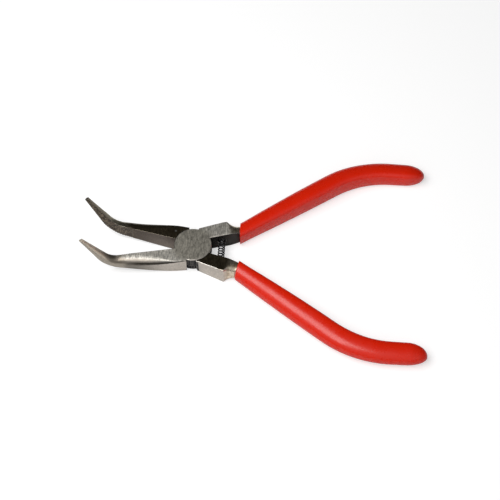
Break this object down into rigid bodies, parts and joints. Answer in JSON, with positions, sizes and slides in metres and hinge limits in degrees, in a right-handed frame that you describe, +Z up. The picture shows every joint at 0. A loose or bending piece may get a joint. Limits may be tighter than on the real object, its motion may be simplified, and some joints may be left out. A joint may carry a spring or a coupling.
{
  "type": "bent needle nose pliers",
  "caption": "Spring-opened needle nose pliers: two forged halves crossing in a riveted lap joint, long tapered jaws bent up at the nose, and dipped plastic grips.",
  "frame": {"origin": "where the rivet's axis meets the flat underside of the joint", "axes": "+X from the joint to the handles, with the jaws at -X; +Y to the side of the upper half's handle; +Z up, the way that the noses bend"},
  "size_m": [0.1351, 0.0932, 0.0225],
  "materials": {
    "ground_steel": "ground flat with cross brushing, lightly tarnished",
    "polished_steel": "smooth polished steel with ground sides",
    "spring_wire": "black oiled wire",
    "grip": "glossy dipped vinyl"
  },
  "bodies": {
    "upper": {"upper_half": "ground_steel", "rivet": "ground_steel", "return_spring": "spring_wire", "upper_grip": "grip"},
    "lower": {"lower_half": "polished_steel", "lower_grip": "grip"}
  },
  "joints": [
    {"name": "joint_pivot", "type": "hinge", "parent": "upper", "child": "lower", "pos_m": [0, 0, 0.0041], "axis": [0, 0, 1], "range_deg": [-26.5, 24.9], "stiffness_Nm_per_rad": 0.12, "deforming": ["return_spring"]}
  ]
}
